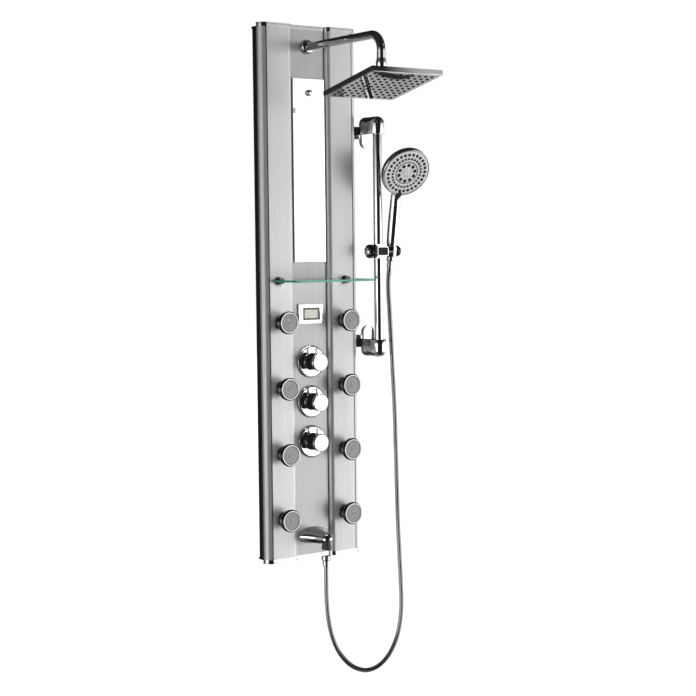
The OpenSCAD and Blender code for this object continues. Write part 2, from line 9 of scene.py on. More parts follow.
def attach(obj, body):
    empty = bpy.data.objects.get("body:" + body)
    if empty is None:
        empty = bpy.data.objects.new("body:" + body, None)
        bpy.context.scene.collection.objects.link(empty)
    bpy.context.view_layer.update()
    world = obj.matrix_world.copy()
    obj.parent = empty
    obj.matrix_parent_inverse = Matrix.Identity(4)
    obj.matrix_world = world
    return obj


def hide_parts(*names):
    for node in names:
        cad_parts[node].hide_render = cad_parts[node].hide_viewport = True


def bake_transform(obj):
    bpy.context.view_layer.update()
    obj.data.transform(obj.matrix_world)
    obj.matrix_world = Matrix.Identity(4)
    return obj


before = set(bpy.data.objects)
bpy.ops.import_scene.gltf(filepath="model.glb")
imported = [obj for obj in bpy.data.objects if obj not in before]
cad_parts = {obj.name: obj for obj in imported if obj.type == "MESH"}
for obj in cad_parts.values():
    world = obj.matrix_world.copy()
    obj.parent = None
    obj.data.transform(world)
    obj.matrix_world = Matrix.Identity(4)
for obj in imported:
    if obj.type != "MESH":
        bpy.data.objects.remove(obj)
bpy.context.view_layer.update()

MM = 0.001
TAU = 2 * math.pi
scene = bpy.context.scene


# ---------------------------------------------------------------- camera
SENSOR_MM, LENS_MM = 36.0, 82.52
CAMERA_PLACE = (-2.20376, -3.32654, 0.12168)
CAMERA_RIGHT = (0.81752959, -0.57578889, -0.01060777)
CAMERA_UP = (0.04577564, 0.04661054, 0.99786374)
CAMERA_BACK = (-0.57406442, -0.81626871, 0.0644626)


def make_camera():
    """The picture's camera, solved from the panel's corners; lengths in metres."""
    data = bpy.data.cameras.new("camera")
    data.sensor_width = SENSOR_MM
    data.lens = LENS_MM
    cam = bpy.data.objects.new("camera", data)
    scene.collection.objects.link(cam)
    m = Matrix.Identity(4)
    for col, axis in enumerate((CAMERA_RIGHT, CAMERA_UP, CAMERA_BACK, CAMERA_PLACE)):
        for row in range(3):
            m[row][col] = axis[row]
    cam.matrix_world = m
    data.clip_end = 60
    scene.camera = cam


make_camera()


# ---------------------------------------------------------------- mesh helpers
AXIS_Z = Matrix.Identity(4)
AXIS_Y = Matrix.Rotation(math.radians(90), 4, "X")  # local z points to the front, -Y
AXIS_X = Matrix.Rotation(math.radians(90), 4, "Y")  # local z points to +X


def at(x, y, z, turn=AXIS_Z):
    return Matrix.Translation((x, y, z)) @ turn


def soften(points, radius=1.0, steps=4, closed=False):
    """Rounds the corners of a 2D polyline; a third number on a point is its own radius."""
    out = []
    n = len(points)
    for i, p in enumerate(points):
        r = p[2] if len(p) > 2 else radius
        if (not closed and i in (0, n - 1)) or r <= 0:
            out.append((p[0], p[1]))
            continue
        a, b, c = (Vector(points[(i + k) % n][:2]) for k in (-1, 0, 1))
        u, v = a - b, c - b
        cut = min(r, u.length * 0.45, v.length * 0.45)
        if cut < 1e-5:
            out.append(tuple(b))
            continue
        s, e = b + u.normalized() * cut, b + v.normalized() * cut
        for k in range(steps + 1):
            t = k / steps
            out.append(tuple(s * (1 - t) ** 2 + b * 2 * t * (1 - t) + e * t * t))
    return out


class Build:
    """Collects shapes in millimetres and turns them into one piece."""

    def __init__(self):
        self.bm = bmesh.new()

    def add(self, verts, faces, place=AXIS_Z, mat=0):
        vs = [self.bm.verts.new(place @ Vector(v)) for v in verts]
        made = []
        for f in faces:
            face = self.bm.faces.new([vs[i] for i in f])
            face.material_index = mat
            made.append(face)
        bmesh.ops.recalc_face_normals(self.bm, faces=made)
        return made

    def loft(self, rings, place=AXIS_Z, mat=0, caps=True, loop=False):
        n = len(rings[0])
        verts = [p for r in rings for p in r]
        faces = []
        count = len(rings)
        for i in range(count if loop else count - 1):
            j = (i + 1) % count
            for k in range(n):
                q = (k + 1) % n
                faces.append((i * n + k, i * n + q, j * n + q, j * n + k))
        if caps and not loop:
            faces.append(tuple(range(n - 1, -1, -1)))
            faces.append(tuple(range((count - 1) * n, count * n)))
        return self.add(verts, faces, place, mat)

    def lathe(self, profile, place=AXIS_Z, mat=0, segs=64, closed=False):
        verts, rows = [], []
        for r, h in profile:
            if r < 1e-4:
                rows.append([len(verts)])
                verts.append((0, 0, h))
            else:
                rows.append(list(range(len(verts), len(verts) + segs)))
                for k in range(segs):
                    a = TAU * k / segs
                    verts.append((r * math.cos(a), r * math.sin(a), h))
        faces = []
        pairs = list(zip(rows, rows[1:])) + ([(rows[-1], rows[0])] if closed else [])
        for a, b in pairs:
            for k in range(segs):
                q = (k + 1) % segs
                if len(a) == 1 and len(b) == 1:
                    break
                if len(a) == 1:
                    faces.append((a[0], b[q], b[k]))
                elif len(b) == 1:
                    faces.append((a[k], a[q], b[0]))
                else:
                    faces.append((a[k], a[q], b[q], b[k]))
        return self.add(verts, faces, place, mat)

    def prism(self, outline, z0, z1, place=AXIS_Z, mat=0, edge=0.0, steps=2):
        n = len(outline)
        faces = self.add(
            [(x, y, z0) for x, y in outline] + [(x, y, z1) for x, y in outline],
            [tuple(range(n - 1, -1, -1)), tuple(range(n, 2 * n))]
            + [(k, (k + 1) % n, n + (k + 1) % n, n + k) for k in range(n)],
            place,
            mat,
        )
        if edge:
            ends = set(faces[0].edges) | set(faces[1].edges)
            bmesh.ops.bevel(self.bm, geom=list(ends), offset=edge, segments=steps, affect="EDGES",
                            clamp_overlap=True)
        return faces

    def block(self, low, high, edge=1.0, place=AXIS_Z, mat=0, steps=2):
        (x0, y0, z0), (x1, y1, z1) = low, high
        verts = [(x, y, z) for z in (z0, z1) for y in (y0, y1) for x in (x0, x1)]
        quads = [(0, 2, 3, 1), (4, 5, 7, 6), (0, 1, 5, 4), (2, 6, 7, 3), (0, 4, 6, 2), (1, 3, 7, 5)]
        faces = self.add(verts, quads, place, mat)
        if edge:
            edges = {e for f in faces for e in f.edges}
            bmesh.ops.bevel(self.bm, geom=list(edges), offset=edge, segments=steps, affect="EDGES",
                            clamp_overlap=True)
        return faces

    def piece(self, name, body, mats, smooth=35, replaces=(), origin=None):
        """Makes the object, in metres; origin in millimetres moves its own origin there."""
        self.bm.transform(Matrix.Scale(MM, 4))
        mesh = bpy.data.meshes.new(name)
        if origin:
            self.bm.transform(Matrix.Translation(-Vector(origin) * MM))
        self.bm.to_mesh(mesh)
        self.bm.free()
        for m in mats:
            mesh.materials.append(m)
        mesh.shade_smooth()
        mesh.set_sharp_from_angle(angle=math.radians(smooth))
        obj = bpy.data.objects.new(name, mesh)
        scene.collection.objects.link(obj)
        if origin:
            obj.location = Vector(origin) * MM
        if body:
            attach(obj, body)
        if replaces:
            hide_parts(*replaces)
        return obj


def arc(cx, cy, r, a0, a1, n=10):
    return [
        (cx + r * math.cos(math.radians(a0 + (a1 - a0) * k / n)),
         cy + r * math.sin(math.radians(a0 + (a1 - a0) * k / n)))
        for k in range(n + 1)
    ]


def sweep(path, radii, sides=16):
    """Rings along a path of points, without twist; radii is one number or one for each point."""
    pts = [Vector(p) for p in path]
    if not isinstance(radii, (list, tuple)):
        radii = [radii] * len(pts)
    tangents = []
    for i in range(len(pts)):
        a, b = pts[max(0, i - 1)], pts[min(len(pts) - 1, i + 1)]
        tangents.append((b - a).normalized())
    side = tangents[0].orthogonal().normalized()
    rings = []
    for p, t, r in zip(pts, tangents, radii):
        side = (side - t * side.dot(t)).normalized()
        other = t.cross(side)
        rings.append([
            tuple(p + side * (r * math.cos(a)) + other * (r * math.sin(a)))
            for a in (TAU * k / sides for k in range(sides))
        ])
    return rings


def ribs(b, count, r, size, low, high, place):
    """Small upright bars round a ring, for grip."""
    bar = [(size * math.cos(t), size * math.sin(t)) for t in (0, 1.57, 3.14, 4.71)]
    for k in range(count):
        a = TAU * k / count
        b.loft([[(x, y, z) for x, y in bar] for z in (low, high)],
               place @ at(r * math.cos(a), r * math.sin(a), 0))


# ---------------------------------------------------------------- materials
def new_material(name):
    m = bpy.data.materials.new(name)
    m.use_nodes = True
    return m, m.node_tree, m.node_tree.nodes["Principled BSDF"]


def coords(nt, stretch):
    tc = nt.nodes.new("ShaderNodeTexCoord")
    mp = nt.nodes.new("ShaderNodeMapping")
    mp.inputs["Scale"].default_value = stretch
    nt.links.new(tc.outputs["Object"], mp.inputs["Vector"])
    return mp.outputs["Vector"]


def noise_value(nt, stretch, scale, low, high, detail=4.0):
    tex = nt.nodes.new("ShaderNodeTexNoise")
    tex.inputs["Scale"].default_value = scale
    tex.inputs["Detail"].default_value = detail
    nt.links.new(coords(nt, stretch), tex.inputs["Vector"])
    rng = nt.nodes.new("ShaderNodeMapRange")
    rng.inputs["From Min"].default_value = 0.3
    rng.inputs["From Max"].default_value = 0.7
    rng.inputs["To Min"].default_value = low
    rng.inputs["To Max"].default_value = high
    nt.links.new(tex.outputs["Fac"], rng.inputs["Value"])
    return rng.outputs["Result"]


def bump(nt, bsdf, height, strength, distance):
    b = nt.nodes.new("ShaderNodeBump")
    b.inputs["Strength"].default_value = strength
    b.inputs["Distance"].default_value = distance
    nt.links.new(height, b.inputs["Height"])
    nt.links.new(b.outputs["Normal"], bsdf.inputs["Normal"])


def surface(name, dark, light, rough, metallic=0.0, stretch=(1, 1, 1), scale=30.0,
            rough_scale=18.0, grain=0.0, grain_scale=900.0, grain_stretch=None, **sockets):
    """Two close colours mixed by noise, roughness that wanders, and fine grain in the normal."""
    m, nt, bsdf = new_material(name)
    bsdf.inputs["Metallic"].default_value = metallic
    for k, v in sockets.items():
        bsdf.inputs[k.replace("_", " ")].default_value = v
    mix = nt.nodes.new("ShaderNodeMix")
    mix.data_type = "RGBA"
    mix.inputs["A"].default_value = (*dark, 1)
    mix.inputs["B"].default_value = (*light, 1)
    nt.links.new(noise_value(nt, stretch, scale, 0, 1), mix.inputs["Factor"])
    nt.links.new(mix.outputs["Result"], bsdf.inputs["Base Color"])
    nt.links.new(noise_value(nt, stretch, rough_scale, *rough), bsdf.inputs["Roughness"])
    if grain:
        height = noise_value(nt, grain_stretch or stretch, grain_scale, 0, 1, 2.0)
        bump(nt, bsdf, height, grain, 0.0002)
    return m


def grey(v, tint=0.0):
    return (v - tint, v, v + tint * 0.5)


satin = surface("satin_aluminium", grey(0.66), grey(0.70), (0.43, 0.48), 0.84, (60, 60, 0.6), 6.0,
                rough_scale=5.0, grain=0.03, grain_scale=22.0, grain_stretch=(60, 60, 0.5))
brushed = surface("brushed_plate", grey(0.46), grey(0.50), (0.38, 0.43), 0.85, (70, 70, 0.8), 6.0,
                  rough_scale=5.0, grain=0.05, grain_scale=20.0, grain_stretch=(70, 70, 0.5))
frame_metal = surface("anodised_frame", grey(0.10), grey(0.16), (0.28, 0.4), 1.0, (40, 40, 0.6),
                      6.0, grain=0.1, grain_scale=20.0, grain_stretch=(60, 60, 0.5))
chrome = surface("chrome", grey(0.80), grey(0.86), (0.02, 0.045), 1.0, scale=14.0, grain=0.008,
                 grain_scale=60.0)
cap_chrome = surface("bright_cap", grey(0.62), grey(0.70), (0.08, 0.16), 1.0, scale=20.0,
                     grain=0.02, grain_scale=80.0)
head_chrome = surface("head_shell", grey(0.60), grey(0.68), (0.004, 0.009), 1.0, scale=16.0,
                      grain=0.015, grain_scale=60.0)
face_chrome = surface("head_face", grey(0.56), grey(0.62), (0.03, 0.06), 1.0, scale=16.0,
                      grain=0.01, grain_scale=60.0)
# near-black base colour for chrome parts: painted dark reflection and painted shade on the swivel
# nut, slider shell, socket, end cap, knob skirt, shelf clips, cap end lips and jet collars; on the
# jet rims it also stands for their own black colour
chrome_painted_dark_reflection = surface("chrome_painted_dark_reflection", grey(0.06), grey(0.10), (0.05, 0.10), 1.0, scale=30.0,
                      grain=0.01, grain_scale=90.0)
jet_chrome = surface("jet_chrome", grey(0.62), grey(0.72), (0.03, 0.06), 1.0, scale=30.0,
                     grain=0.008, grain_scale=90.0)
jet_grey = surface("jet_face", grey(0.14), grey(0.36), (0.25, 0.4), 0.0, scale=900.0, grain=0.2,
                   grain_scale=1500.0)
spray_grey = surface("spray_face", grey(0.46), grey(0.53), (0.2, 0.32), 0.0, scale=40.0, grain=0.08,
                     grain_scale=1500.0, Coat_Weight=0.3, Coat_Roughness=0.15)
rubber = surface("black_rubber", grey(0.004), grey(0.010), (0.55, 0.72), 0.0, scale=200.0,
                 grain=0.2, grain_scale=2500.0)
plastic = surface("black_plastic", grey(0.015), grey(0.03), (0.3, 0.45), 0.0, scale=60.0,
                  grain=0.12, grain_scale=1800.0)
# gloss black for the spray lever; on the hand shower's rear rim it is a painted dark reflection
black_lever_and_painted_rim = surface("dark_lever", grey(0.012), grey(0.022), (0.12, 0.2), 0.0, scale=60.0,
                      Coat_Weight=0.6)
# near-black colour painted in as shade: it fills the column's groove and the gap beside the centre
# plate; on the slider's face it is a painted dark reflection
shade_black_fill = surface("painted_shade_black", grey(0.004), grey(0.008), (0.5, 0.7), 0.0, scale=80.0, grain=0.1,
               grain_scale=1500.0)
brass = surface("brass", (0.55, 0.40, 0.16), (0.68, 0.52, 0.24), (0.22, 0.36), 1.0, scale=40.0,
                grain=0.08)
steel = surface("galvanised_steel", grey(0.42), grey(0.55), (0.3, 0.5), 1.0, scale=120.0, grain=0.1,
                grain_scale=400.0)
board = surface("circuit_board", (0.02, 0.10, 0.04), (0.04, 0.16, 0.07), (0.35, 0.5), 0.0,
                scale=200.0)
lcd = surface("display_window", (0.42, 0.44, 0.37), (0.48, 0.50, 0.42), (0.06, 0.12), 0.0,
              scale=30.0, Coat_Weight=0.8)
lcd_dark = surface("display_surround", grey(0.008), grey(0.014), (0.12, 0.2), 0.0, scale=80.0,
                   Coat_Weight=0.5)
mirror = surface("mirror_silver", grey(0.93), grey(0.96), (0.004, 0.012), 0.78, scale=4.0)
mirror_edge = surface("mirror_edge", (0.015, 0.03, 0.025), (0.03, 0.05, 0.045), (0.08, 0.16), 0.0,
                      scale=60.0, Coat_Weight=0.4)
hose_steel = surface("steel_hose", grey(0.46), grey(0.56), (0.10, 0.18), 1.0, scale=120.0,
                     grain=0.03, grain_scale=300.0)


def glass(name, tint, rough):
    m, nt, bsdf = new_material(name)
    bsdf.inputs["Transmission Weight"].default_value = 1.0
    bsdf.inputs["IOR"].default_value = 1.5
    mix = nt.nodes.new("ShaderNodeMix")
    mix.data_type = "RGBA"
    mix.inputs["A"].default_value = (*tint, 1)
    mix.inputs["B"].default_value = (*[min(1.0, c * 1.06) for c in tint], 1)
    nt.links.new(noise_value(nt, (1, 1, 1), 12.0, 0, 1), mix.inputs["Factor"])
    nt.links.new(mix.outputs["Result"], bsdf.inputs["Base Color"])
    nt.links.new(noise_value(nt, (1, 1, 1), 20.0, *rough), bsdf.inputs["Roughness"])
    return m


shelf_clear = glass("shelf_glass", (0.86, 0.95, 0.92), (0.0, 0.02))
shelf_edge = surface("shelf_edge", (0.02, 0.17, 0.12), (0.04, 0.28, 0.20), (0.1, 0.2), 0.0,
                     (1, 1, 1), 30.0, Coat_Weight=0.5)


def dress(names, material):
    for n in names:
        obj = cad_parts[n]
        obj.data.materials.clear()
        obj.data.materials.append(material)
        for p in obj.data.polygons:
            p.material_index = 0


# ---------------------------------------------------------------- hose
BAR_X, BAR_Y, SLIDER_Z = 180, -74, 105
SOCKET_LEAN, HANDLE_TURN, FACE_TILT = 9, -9, 111  # degrees
HOLD = Vector((220, BAR_Y, SLIDER_Z))  # the socket's centre
LEAN = Matrix.Translation(HOLD) @ Matrix.Rotation(math.radians(SOCKET_LEAN), 4, "X")
HAND = LEAN @ Matrix.Rotation(math.radians(HANDLE_TURN), 4, "Z")  # the hand shower's handle
FACE = HAND @ at(0, -46, 204, Matrix.Rotation(math.radians(FACE_TILT), 4, "X"))
ROUTE = [
    (49, -17, -690), (49, -17, -715), (49, -17, -745), (50, -17, -785),
    (54, -18.5, -830), (63, -22, -875), (80, -27, -916), (107, -36, -950),
    (140, -47, -967), (172, -57, -963), (200, -66, -941), (221, -73, -905),
    (234, -77, -862), (240, -79, -806), (239, -78.5, -740), (236, -78, -670),
    (233, -77, -590), (231, -76.5, -500), (229, -76, -400), (227, -75, -300),
    (224, -73, -210), (222, -70, -130), (221, -66, -60), (220, -62.5, 0),
    (220, -62.5, 32), (220, -67, 60.7),
]
HOSE_X, HOSE_Y = 49, -17  # where it leaves the panel
HOSE_D = 13.0
RIDGE = 5.2  # one rib to the next
GROOVE = 1.7  # depth between ribs
STEPS = 4  # rings to one rib
SLIDER_CUT, SOCKET_CUT = -170, -21  # heights where one length ends and the next begins


def catmull(p, i, t):
    a, b, c, d = (Vector(p[max(0, min(len(p) - 1, k))]) for k in (i - 1, i, i + 1, i + 2))
    square, cube = 2 * a - 5 * b + 4 * c - d, 3 * b - a - 3 * c + d
    return 0.5 * (2 * b + (c - a) * t + square * t * t + cube * t ** 3)


def resample(points, step):
    """Points at equal steps along a polyline."""
    out = [points[0].copy()]
    carry = 0.0
    for a, b in zip(points, points[1:]):
        length = (b - a).length
        while carry + length >= step:
            t = (step - carry) / length
            a = a + (b - a) * t
            out.append(a.copy())
            length = (b - a).length
            carry = 0.0
        carry += length
    out[-1] = points[-1].copy()
    return out


HOSE_LINE = resample([catmull(ROUTE, i, k / 24) for i in range(len(ROUTE) - 1) for k in range(24)]
                     + [Vector(ROUTE[-1])], RIDGE / STEPS)


def make_nuts():
    """A ribbed sleeve under the hand shower and a knurled nut under the panel."""
    low = [(5.2, -44)]
    for k in range(8):
        z = -43.8 + 2.4 * k
        low += [(6.7, z), (7.4, z + 0.5), (7.4, z + 1.3), (6.7, z + 1.8)]
    low += [(7.6, -24.6), (8.6, -24.2), (8.6, -20.8), (6, -20.8)]
    b = Build()
    b.lathe(low, HAND, segs=48)
    upper = b.piece("hose_ferrule_upper", "handset", [chrome], smooth=50,
                    replaces=["hose_nut_upper"])
    b = Build()
    b.lathe(soften([(5.2, -690), (8.2, -690, 0.5), (9.2, -688, 0.6), (9.2, -676.5, 0.5),
                    (11, -675.6, 0.5), (11.6, -674, 0.6), (11.6, -664, 0.8), (10.4, -662.6, 0.6),
                    (8, -662.2, 0.4), (8, -659.8)]), at(HOSE_X, HOSE_Y, 0), segs=56)
    ribs(b, 24, 11.6, 0.55, -673.2, -664.6, at(HOSE_X, HOSE_Y, 0))
    lower = b.piece("hose_nut_under_panel", "panel", [chrome], smooth=50,
                    replaces=["hose_nut_lower"])
    return lower, upper


def make_hose():
    """One hose in four lengths: the first hangs from the panel down to the loop's lowest point and
    stays there;
    the others are cut at the slider's and the socket's heights and stay where they are built."""
    nut_lower, nut_upper = make_nuts()
    bottom = min(range(len(HOSE_LINE)), key=lambda i: HOSE_LINE[i].z)
    rising = range(bottom, len(HOSE_LINE))
    cut_a = next(i for i in rising if HOSE_LINE[i].z > SLIDER_CUT)
    cut_b = next(i for i in rising if HOSE_LINE[i].z > SOCKET_CUT)
    cuts = [("hose_start", 0, bottom), ("hose_lower", bottom, cut_a), ("hose_middle", cut_a, cut_b),
            ("hose_upper", cut_b, len(HOSE_LINE) - 1)]
    made = []
    for name, a, b in cuts:
        path = HOSE_LINE[a:b + 1]
        radii = [HOSE_D / 2 if k % STEPS < STEPS / 2 else HOSE_D / 2 - GROOVE
                 for k in range(a, b + 1)]
        bld = Build()
        bld.loft(sweep(path, radii, 18))
        obj = bld.piece(name, None, [hose_steel], smooth=30)
        made.append((obj, [tuple(p * MM) for p in path]))
    (begin, ps), (low, p0), (mid, p1), (top, p2) = made
    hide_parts("hose")
    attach(begin, "panel")
    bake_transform(low)
    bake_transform(mid)
    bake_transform(top)

    def length(p):
        return sum((Vector(b) - Vector(a)).length for a, b in zip(p, p[1:]))


make_hose()


# ---------------------------------------------------------------- panel
PANEL = "panel"
BRACKET_ARM_Z = (404, -123)
PLATE = 30.0  # the centre plate's front, from the wall
HALF, BODY = 660.0, 650.0  # half the panel's height, with its end mouldings and without
CORNER_X, CORNER_Y, CORNER_R = 122.5, -24.5, 17.5  # a column's rounded outer corner


def column_line(grow=0.0, groove=False):
    """Front of the right column's cross-section, from the centre plate round to the side."""
    inner = arc(62.5, -PLATE, 12 + grow, 180, 270, 12)
    r = CORNER_R + grow
    parts = [(0, 270, 360, 16)]
    if groove:
        parts = [(0, 270, 273.5, 2), (2.2, 274, 283, 2), (0, 283.5, 326, 8),
                 (0.7, 326.6, 329.4, 1), (0, 330, 360, 6)]
    for depth, a0, a1, n in parts:
        inner += arc(CORNER_X, CORNER_Y, r - depth, a0, a1, n)
    return inner


def mirrored(points, sign):
    return [(x * sign, y) for x, y in points]


def make_columns():
    outer = [(50.5, -28.0)] + column_line(0, True) + [(140, -22)]
    inner = [(138, -22)] + list(reversed(column_line(-2.4))) + [(52.5, -28)]
    # two near-black strips painted in as shade: one in the gap beside the centre plate, one in the
    # bottom of the groove near the column's outer corner
    gap = [(48.9, -29.6), (48.9, -30.3), (50.6, -30.3), (50.6, -29.6)]
    groove_shade_fill = (arc(CORNER_X, CORNER_Y, 16.1, 273.9, 283.1, 3)
            + arc(CORNER_X, CORNER_Y, 15.0, 283.1, 273.9, 3))
    for sign, side in ((-1, "left"), (1, "right")):
        b = Build()
        b.prism(mirrored(outer + inner, sign), -BODY, BODY)
        b.prism(mirrored(gap, sign), -BODY, BODY, mat=1)
        b.prism(mirrored(groove_shade_fill, sign), -BODY, BODY, mat=1)
        b.piece(side + "_column_extrusion", PANEL, [satin, shade_black_fill], smooth=24,
                replaces=[side + "_column"])


def make_side_channels():
    """Grooved skirts on the sides of the back."""
    line = [(138, -0.4), (138.5, -0.4), (138.5, -5.2), (140, -6), (140, -13.6), (138.7, -14.4),
            (138.7, -18.4), (139.6, -19), (139.6, -21.9), (138, -21.9)]
    for sign, side in ((-1, "left"), (1, "right")):
        b = Build()
        b.prism(mirrored(line, sign), -BODY + 5, BODY - 5)
        b.piece(side + "_side_channel", PANEL, [frame_metal], smooth=24)


def make_caps():
    low = [(50.5, -27.2)] + column_line(0.9) + [(140.9, -22)]
    high = [(49.6, -26.6)] + column_line(1.7) + [(141.7, -21)]
    plate_low = [(-49.3, -28), (-49.3, -31.4), (49.3, -31.4), (49.3, -28)]
    plate_high = [(-48.4, -27), (-48.4, -32.6), (48.4, -32.6), (48.4, -27)]
    lines = [("left", mirrored(low, -1), mirrored(high, -1)), ("right", low, high),
             ("centre", plate_low, plate_high)]
    for end, flip in (("top", 1), ("bottom", -1)):
        m = Matrix.Scale(flip, 4, (0, 0, 1))
        for side, inside, outside in lines:
            b = Build()
            b.prism(inside, BODY, BODY + 6, m, edge=0.35)
            b.prism(outside, BODY + 6.2, HALF - 1.6, m, edge=0.6, steps=3)
            b.prism(outside, HALF - 1.6, HALF, m, mat=1, edge=0.5)
            b.piece("%s_%s_cap_moulding" % (side, end), PANEL, [cap_chrome, chrome_painted_dark_reflection],
                    smooth=30, replaces=["%s_%s_cap" % (side, end)])


def make_side_plugs():
    """Small covers over the spare bracket holes in the left side."""
    for i, z in enumerate(BRACKET_ARM_Z):
        b = Build()
        b.lathe([(0, 0), (3.4, 0), (3.4, 0.6), (2.6, 1.2), (1.4, 1.2), (1.0, 0.6), (0, 0.6)],
                at(-139.4, -17.5, z, Matrix.Rotation(math.radians(-90), 4, "Y")), segs=24)
        b.piece("side_plug_%d" % (i + 1), PANEL, [plastic])


def make_mirror():
    x, z0, z1 = 47.0, 79.5, 531.5
    b = Build()
    b.block((-x, -36, z0), (x, -30.1, z1), 1.3, mat=1, steps=1)
    b.bm.faces.ensure_lookup_table()
    for f in b.bm.faces:
        if f.normal.y < -0.99:
            f.material_index = 0
    b.piece("mirror_plate", PANEL, [mirror, mirror_edge], smooth=10,
            replaces=["mirror_glass"])
    b = Build()
    b.lathe(soften([(0, 36.1), (8.4, 36.1), (8.4, 37.6, 0.6), (7.4, 38.4, 0.6), (7.4, 42.6, 1.6),
                    (5.2, 44.2, 1.5), (0, 44.5)]), at(0, 0, 496, AXIS_Y), segs=48)
    b.piece("mirror_screw_cap", PANEL, [chrome], replaces=["mirror_screw"])


def make_shelf():
    x, y0, y1, z0, z1 = 116, -153, -43, 33.0, 38.0
    line = [(-x, y1, 0.5), (-x, y0, 9), (x, y0, 9), (x, y1, 0.5)]
    line = soften(line, steps=8, closed=True)
    b = Build()
    b.prism(line, z0, z1, edge=0.7)
    b.bm.faces.ensure_lookup_table()
    b.bm.normal_update()
    for f in b.bm.faces:
        if abs(f.normal.z) < 0.3:
            f.material_index = 1
    b.piece("shelf_pane", PANEL, [shelf_clear, shelf_edge], smooth=30,
            replaces=["shelf_glass"])
    zc = (z0 + z1) / 2
    clip_x, clip_r, half_gap = 99, 8.5, 2.6
    base = math.degrees(math.asin(half_gap / clip_r))
    b = Build()
    s = Build()
    for sign in (-1, 1):
        place = at(sign * clip_x, 0, zc, AXIS_Y)
        for up in (1, -1):
            half = [(px, py * up) for px, py in arc(0, 0, clip_r, base, 180 - base, 20)]
            b.prism(half, 43, 57.5, place, edge=0.9, steps=3)
        b.lathe([(0, 42.05), (10, 42.05), (10, 43.2), (9.2, 44.0), (0, 44.0)], place, segs=40)
        s.lathe(soften([(0, -11.2), (2.9, -11.2), (3.4, -10.6), (3.4, -7.6), (2, -7.4), (2, -5),
                        (0, -5)], 0.5), at(sign * clip_x, -51, z0), segs=24)
    b.piece("shelf_clip_pair", PANEL, [chrome_painted_dark_reflection], replaces=["shelf_clips"])
    s.piece("shelf_clip_screws", PANEL, [chrome], replaces=["shelf_screws"])


def frame_ring(b, outer, inner, z):
    """Quads between two rectangles given as (half width, half height, depth) in a face frame."""
    (a, c, d), (e, f, g) = outer, inner
    v = [(-a, -c, d), (a, -c, d), (a, c, d), (-a, c, d), (-e, -f, g), (e, -f, g), (e, f, g),
         (-e, f, g)]
    b.add(v, [(k, (k + 1) % 4, 4 + (k + 1) % 4, 4 + k) for k in range(4)], at(0, 0, z, AXIS_Y))


def make_display():
    zc = -48
    b = Build()
    steps = [(36, 24.5, 30.1), (36, 24.5, 34.6), (35.2, 23.7, 35.6), (32.6, 21.1, 35.9),
             (32, 20.5, 37.2), (31.4, 19.9, 37.7), (25.6, 15.6, 37.5), (25.0, 15.0, 36.6),
             (24.8, 14.8, 33.5)]
    for p, q in zip(steps, steps[1:]):
        frame_ring(b, p, q, zc)
    back = (24.8, 14.8, 30.1)
    frame_ring(b, steps[-1], back, zc)
    frame_ring(b, back, steps[0], zc)
    bmesh.ops.remove_doubles(b.bm, verts=b.bm.verts, dist=0.001)
    bmesh.ops.recalc_face_normals(b.bm, faces=b.bm.faces)
    b.piece("display_frame_ring", PANEL, [chrome], smooth=25,
            replaces=["display_bezel"])
    b = Build()
    b.block((-25.3, -36.0, zc - 15.3), (25.3, -34.2, zc + 15.3), 0.4, mat=1)
    b.block((-20.0, -36.5, zc - 10.4), (19.0, -35.8, zc + 10.4), 0.25)
    b.piece("display_window_pane", PANEL, [lcd, lcd_dark],
            replaces=["display_lens"])


# ---------------------------------------------------------------- arm and rain head
ARM_Z, ARM_END_Y = 608, -338
BALL = Vector((0, ARM_END_Y, 517))
HEAD_TILT = -12  # degrees
HEAD = Matrix.Translation(BALL) @ Matrix.Rotation(math.radians(HEAD_TILT), 4, "X")


def make_arm():
    path = [(0, y, ARM_Z) for y in (-22, -30, -120, -210, -298)]
    bend = 38
    for k in range(1, 16):
        a = math.radians(6 * k)
        path.append((0, ARM_END_Y + bend - bend * math.sin(a), ARM_Z - bend + bend * math.cos(a)))
    path += [(0, ARM_END_Y, z) for z in (569, 550, 533)]
    b = Build()
    b.loft(sweep(path, 10.0, 40))
    b.lathe(soften([(9.5, 551), (10.9, 551, 0.5), (10.9, 546, 0.5), (12.4, 544, 1),
                    (12.4, 531.6, 1), (11, 530.4, 0.5), (5.2, 530.4, 0.3), (5.2, 534)]),
            at(0, ARM_END_Y, 0), segs=48)
    b.piece("arm_pipe", PANEL, [chrome], smooth=40, replaces=["shower_arm"])
    b = Build()
    b.lathe(soften([(10.05, 30.1), (18, 30.1, 0.3), (18, 33.2, 1.2), (16.6, 36.5, 2), (14, 39.2, 2),
                    (11.4, 40, 0.8), (10.05, 40, 0.3)]), at(0, 0, ARM_Z, AXIS_Y), segs=56)
    b.piece("arm_escutcheon", PANEL, [chrome], replaces=["arm_cover"])


